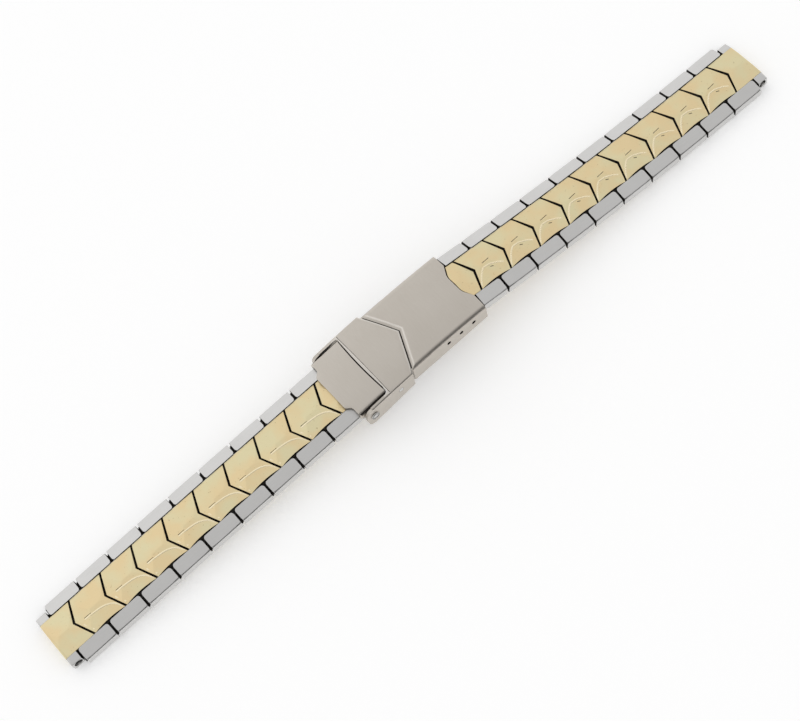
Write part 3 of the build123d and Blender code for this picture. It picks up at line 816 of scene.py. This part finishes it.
# The walls of the arrow-shaped gap and the rim of the flap's opening are painted shade.
line_gaps(wide, clasp_steel, lambda c, n: arrow_slope(n) > wall_slope and c.x > -3)
line_gaps(wide, clasp_steel, lambda c, n: abs(c.y) < 6.9 and on_rim(c))
line_gaps(narrow, clasp_steel, lambda c, n: arrow_slope(n) < -wall_slope)
# The bevels along the arrow-shaped gap and a strip by the scribed line get a painted highlight.
paint_edge_highlight(narrow, lambda c, n: -0.33 < n.x < -0.12 and n.z > 0.8 and c.x < 2)
paint_edge_highlight(wide, lambda c, n: 0.15 < n.x < 0.65 and n.z > 0.6 and c.x > -3.9)
paint_edge_highlight(wide, lambda c, n: n.z > 0.8 and -8.7 < c.x < scribe_x)
# The scribed line is a thin bar painted dark, as painted shade in a fine groove.
seam = [Vector((scribe_x, y, crest(scribe_x, y) - 0.03)) for y in (-7.3, -5, -2.5, 0, 2.5, 5, 7.3)]
wide = join("cover_wide_part", wide, ridge("scribed line", seam, 0.055, painted_shade))

# Sheet under the arrow-shaped gap. The narrow part runs on beneath the wide part as a
# tongue across the band, painted dark on top as painted shade, with a cheek down each side.
tongue_start, tongue_top, tongue_foot = -3.95, clasp_height - 0.35, clasp_height - 1.2
tongue = arch_bar("tongue", narrow_half - 0.1, tongue_top, tongue_foot, 0, tongue_start, 2.0)
mirror_half(tongue)
line_gaps(tongue, clasp_steel, lambda c, n: n.z > 0.3)
cheek = block("cheek", (tongue_start, 6.66, 4.9), (-1.6, 7.07, 8.6))
cheek.data.materials.append(clasp_steel)
mirror_copy(cheek)
narrow = join("cover_narrow_part", narrow, tongue, cheek)

# Safety flap. A separate crowned plate of thin steel with a finger tab turns on two rivets
# between the lugs, and two cheeks inside the lugs carry its eyes.
flap_half, flap_end, shoulder_x, tab_half = 6.88, -15.5, -14.45, 4.0
flap_wall, flap_plate, flap_round, eye_radius = 0.38, 0.5, 0.6, 1.2
flap = channel("flap", flap_half, flap_wall, flap_plate, flap_round, flap_end - 0.5, -7.5)
cut(flap, (flap_end, 0, 0), (-1, 0, 0))
carve(flap, swing_tool("swing", flap_swing, flap_half), "INTERSECT")
beside_tab = block("beside tab", (-18, tab_half, 0), (shoulder_x, 9, 12))
cut(beside_tab, (flap_end, tab_half, 0), (0.8, -1.05, 0))
at_shoulder = lambda a, b: abs(a.z - b.z) > 5 and a.x > shoulder_x - 0.01 and a.y < 6
round_edges(beside_tab, at_shoulder, 0.4, 4)
carve(flap, beside_tab)
tab_corner = lambda a, b: abs(a.z - b.z) > 0.2 and max(a.x, b.x) < flap_end + 0.01 and a.y > 3
round_edges(flap, tab_corner, 0.3, 4)
cut(flap, (flap_end, 0, 6.89), (-1.39, 0, -2.2))
cut(flap, (-8.36, 0, 8.1), (2.32, 0, -2.7))
for lean in (-30, 0, 30):
    out = Vector((math.sin(math.radians(lean)), 0, -math.cos(math.radians(lean))))
    cut(flap, Vector((flap_x, 0, flap_z)) + eye_radius * out, out)
carve(flap, rod("rivet hole", rivet_bore, 9, (flap_x, 0, flap_z), 32))
mirror_half(flap)
soften(flap, clasp_edge, 2, 25)
# The flap's sides and its end towards the cover are painted dark, as painted shade in the gaps.
line_gaps(flap, clasp_steel, lambda c, n: max(n.x, abs(n.y)) > 0.7 and c.x > -14 and c.z > 6.5)

# Flap rivets. Each is a plain steel pin through a lug and a cheek of the flap, with a low
# turned head outside that has a ring cut in it, painted dark as painted shade.
head_radius, ring_outer, ring_inner, shank_radius = 0.85, 0.7, 0.45, 0.45
rivet = rod("rivet head", head_radius, 0.125, (flap_x, 7.82, flap_z))
ring = rod("ring", ring_outer, 0.2, (flap_x, 8.05, flap_z))
carve(ring, rod("ring centre", ring_inner, 1, (flap_x, 8.05, flap_z)))
carve(rivet, ring)
soften(rivet, 0.06, 2, 40)
line_gaps(rivet, satin_steel, lambda c, n: ring_inner < rivet_distance(c) < ring_outer)
shank = rod("shank", shank_radius, 0.55, (flap_x, 7.2, flap_z), 32)
rivets = join("rivets", rivet, shank)
mirror_copy(rivets)

# Spring bar. A steel tube with a thinner tip at each end holds the right half in the
# cover's outermost holes, with the tips a little below flush.
bar_place, tube_radius, tip_radius, tip_half = (hole_places[0], 0, hole_z), 0.6, 0.35, 6.85
tube = rod("spring_bar", tube_radius, tube_half, bar_place)
spring_bar = join("spring_bar", tube, rod("tip", tip_radius, tip_half, bar_place))
soften(spring_bar, 0.05, 2, 40)
# The tips, inside the cover's holes, are painted dark, as painted shade.
line_gaps(spring_bar, satin_steel, lambda c, n: abs(c.y) > 6.5)
set_part(spring_bar, "clasp", ["clasp_spring_bar"])
set_part(wide, "clasp", ["clasp_cover"])
set_part(narrow, "clasp", ["clasp_cover"])
set_part(flap, "safety_flap", ["safety_flap"])
set_part(rivets, "clasp", ["flap_rivets"])

# Hidden fittings. The two folding blades and their pins are plain stainless steel under
# the cover, so the CAD's own solids stand for them.
hidden = ("middle", "bottom", "cover_hinge", "fold", "left_link")
for name, node in frame["nodes"].items():
    if name.startswith(hidden):
        node.data.materials.clear()
        node.data.materials.append(satin_steel)

# Table. The bracelet lies on a plain white sheet, which keeps its soft shadow and has a
# faint glow of its own, so that it renders white.
bpy.ops.object.select_all(action="DESELECT")
bpy.ops.mesh.primitive_plane_add(size=3, location=(0, 0, -0.00002))
table = bpy.context.object
table.name = "table"
table_white = bpy.data.materials.new("white table")
table_white.use_nodes = True
shader = table_white.node_tree.nodes["Principled BSDF"]
shader.inputs["Base Color"].default_value = (0.9, 0.9, 0.9, 1)
shader.inputs["Roughness"].default_value = 0.9
shader.inputs["Specular IOR Level"].default_value = 0.1
shader.inputs["Emission Color"].default_value = (1, 1, 1, 1)
shader.inputs["Emission Strength"].default_value = 0.26
table.data.materials.append(table_white)
table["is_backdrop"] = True

# Studio. White sweeps stand overhead and behind the bracelet, and its near side faces the
# darker room, which gives the dark lines along the near edges of the real one.
studio = bpy.data.worlds.new("studio")
bpy.context.scene.world = studio
studio.use_nodes = True
background = studio.node_tree.nodes["Background"]
start = Field(studio.node_tree)
direction = start.get("ShaderNodeTexCoord", output=0)
across = start.get("ShaderNodeSeparateXYZ", output=1, Vector=direction) * 0.5 + 0.5
stops = ((0.05, 0.08), (0.2, 0.2), (0.36, 0.5), (0.45, 0.8), (0.8, 0.88), (0.92, 1.0))
greys = [(position, (level, level, level)) for position, level in stops]
sweep = start.get("ShaderNodeValToRGB", {"stops": greys}, Fac=across)
rays = start.node("ShaderNodeLightPath")
camera_ray = Field(studio.node_tree, rays.outputs["Is Camera Ray"])
glossy_ray = Field(studio.node_tree, rays.outputs["Is Glossy Ray"])
seen = camera_ray.mix(glossy_ray.mix((0.8, 0.8, 0.8), sweep), (1, 1, 1))
studio.node_tree.links.new(seen.socket, background.inputs["Color"])
background.inputs["Strength"].default_value = 1


def softbox(name, place, size, watts):
    """A square softbox that faces the middle of the bracelet."""
    bpy.ops.object.light_add(type="AREA", location=place)
    lamp = bpy.context.object
    lamp.name = name
    lamp.data.shape = "SQUARE"
    lamp.data.size = size
    lamp.data.energy = watts
    lamp.rotation_euler = (-Vector(place)).to_track_quat("-Z", "Y").to_euler()


softbox("far softbox", (-0.35, 0.45, 0.7), 0.5, 0.1)

# Camera. Its place and turn were fitted to the gaps between the links in the photograph,
# and it is set from the cover's hinge.
view = bpy.data.cameras.new("camera")
view.lens = 81.748
view.sensor_width = 36
view.clip_start = 0.01
camera = bpy.data.objects.new("camera", view)
bpy.context.scene.collection.objects.link(camera)
axes = ((0.751628, -0.646716, -0.129668), (0.633462, 0.652991, 0.415125),
        (-0.183796, -0.394159, 0.900476))
from_hinge = Vector((-55.2294, -129.1252, 287.5365)) * mm
camera_place = Matrix.Translation(joint_place["cover_hinge"] + from_hinge)
camera.matrix_world = camera_place @ Matrix(axes).transposed().to_4x4()
bpy.context.scene.camera = camera
bpy.context.scene.view_settings.view_transform = "Standard"

low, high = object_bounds()
